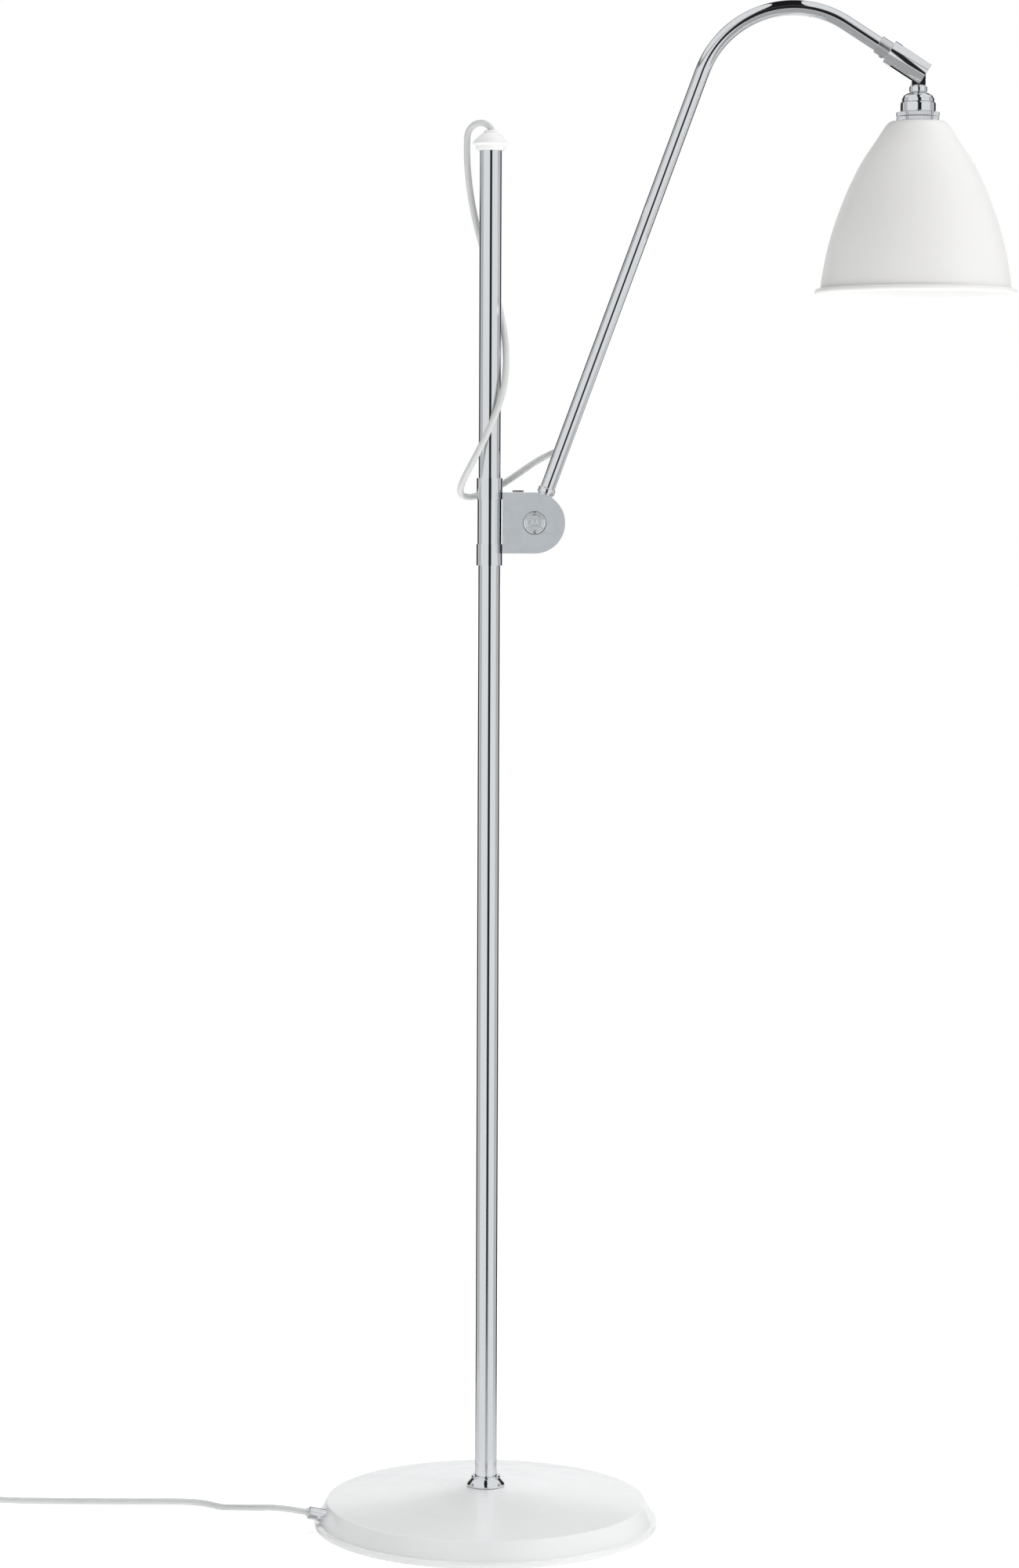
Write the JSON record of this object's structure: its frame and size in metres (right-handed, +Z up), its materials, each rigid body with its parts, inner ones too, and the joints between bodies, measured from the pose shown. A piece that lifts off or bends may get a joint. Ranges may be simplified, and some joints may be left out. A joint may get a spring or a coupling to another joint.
{
  "type": "arc floor lamp",
  "caption": "Floor lamp: weighted round base, slim pole, sliding bracket, tilting arm bent over at its top, and a bell shade on a two-way knuckle.",
  "frame": {"origin": "centre of the underside of the base pad, on the floor", "axes": "+Z up along the pole, +X from the pole towards the shade, +Y to the back"},
  "size_m": [1.0359, 0.2796, 1.2296],
  "materials": {
    "chrome": "polished chrome plate",
    "steel": "zinc-plated steel",
    "brass": "plain brass",
    "cast_iron": "raw casting",
    "white_lacquer": "gloss white lacquer",
    "satin_white": "satin off-white enamel",
    "clear_vinyl": "translucent soft vinyl",
    "white_plastic": "moulded white plastic",
    "fibre": "pressed fibre",
    "felt": "dense felt",
    "opal_glass": "opal glass"
  },
  "bodies": {
    "stand": {"base_cover": "white_lacquer", "base_ballast": "cast_iron", "base_pad": "felt", "base_nipple": "steel", "clamp_washer": "steel", "clamp_nut": "steel", "pole_foot_insert": "steel", "foot_collar": "chrome", "stand_lead": "clear_vinyl", "cord_ferrule": "chrome", "ferrule_nut": "steel", "strain_relief": "clear_vinyl", "mains_cord_run": "clear_vinyl", "mains_cord_link": "clear_vinyl", "mains_cord_tail": "clear_vinyl", "mains_coil": "clear_vinyl", "switch_base": "white_plastic", "switch_cover": "white_plastic", "plug": "white_plastic"},
    "pole": {"pole_tube": "chrome", "pole_cap": "clear_vinyl", "upper_cord_pole": "clear_vinyl"},
    "bracket": {"slide_sleeve": "chrome", "bracket_shell": "chrome", "bracket_cover": "chrome", "cover_screw_1": "steel", "cover_screw_2": "steel", "collar_screw": "steel", "slot_tab": "steel", "emblem_cap": "chrome", "pivot_bolt": "steel", "pivot_nut": "chrome", "friction_disc_front": "fibre", "friction_disc_rear": "fibre", "spring_washer": "steel", "upper_cord_arm": "clear_vinyl"},
    "arm": {"arm_hub": "steel", "arm_tube": "chrome", "arm_root_ring": "chrome", "arm_lead": "clear_vinyl", "arm_grommet": "clear_vinyl", "arm_end_collar": "chrome", "end_set_screw": "steel"},
    "knuckle": {"knuckle_barrel": "chrome", "knuckle_pin": "steel", "knuckle_pin_nut": "chrome"},
    "shade": {"shade_stem": "chrome", "stem_nut": "chrome", "holder_cap": "chrome", "holder_sleeve": "chrome", "shade_ring_upper": "chrome", "shade_ring_lower": "chrome", "holder_body": "white_plastic", "holder_insert": "brass", "holder_contact": "brass", "shade_retaining_ring": "white_plastic", "bulb_base": "brass", "bulb_glass": "opal_glass", "shade": "satin_white"},
    "button": {"switch_button": "white_plastic"}
  },
  "joints": [
    {"name": "swivel", "type": "hinge", "parent": "stand", "child": "pole", "pos_m": [0, 0, 0.0404], "axis": [0, 0, 1], "range_deg": [-90, 90]},
    {"name": "height", "type": "slide", "parent": "pole", "child": "bracket", "axis": [0, 0, 1], "range_m": [-0.12, 0.15], "deforming": ["upper_cord_pole"]},
    {"name": "arm_tilt", "type": "hinge", "parent": "bracket", "child": "arm", "pos_m": [0.0362, 0, 0.8152], "axis": [0, 1, 0], "range_deg": [-20, 60], "deforming": ["upper_cord_arm"]},
    {"name": "knuckle_swivel", "type": "hinge", "parent": "arm", "child": "knuckle", "pos_m": [0.31587, 0, 1.18964], "axis": [0.8425, 0, -0.5388], "range_deg": [-90, 90]},
    {"name": "shade_tilt", "type": "hinge", "parent": "knuckle", "child": "shade", "pos_m": [0.33921, 0, 1.17471], "axis": [0, 1, 0], "range_deg": [-75, 40]},
    {"name": "switch_press", "type": "slide", "parent": "stand", "child": "button", "axis": [0, 0, -1], "range_m": [0, 0.003], "stiffness_N_per_m": 400}
  ]
}
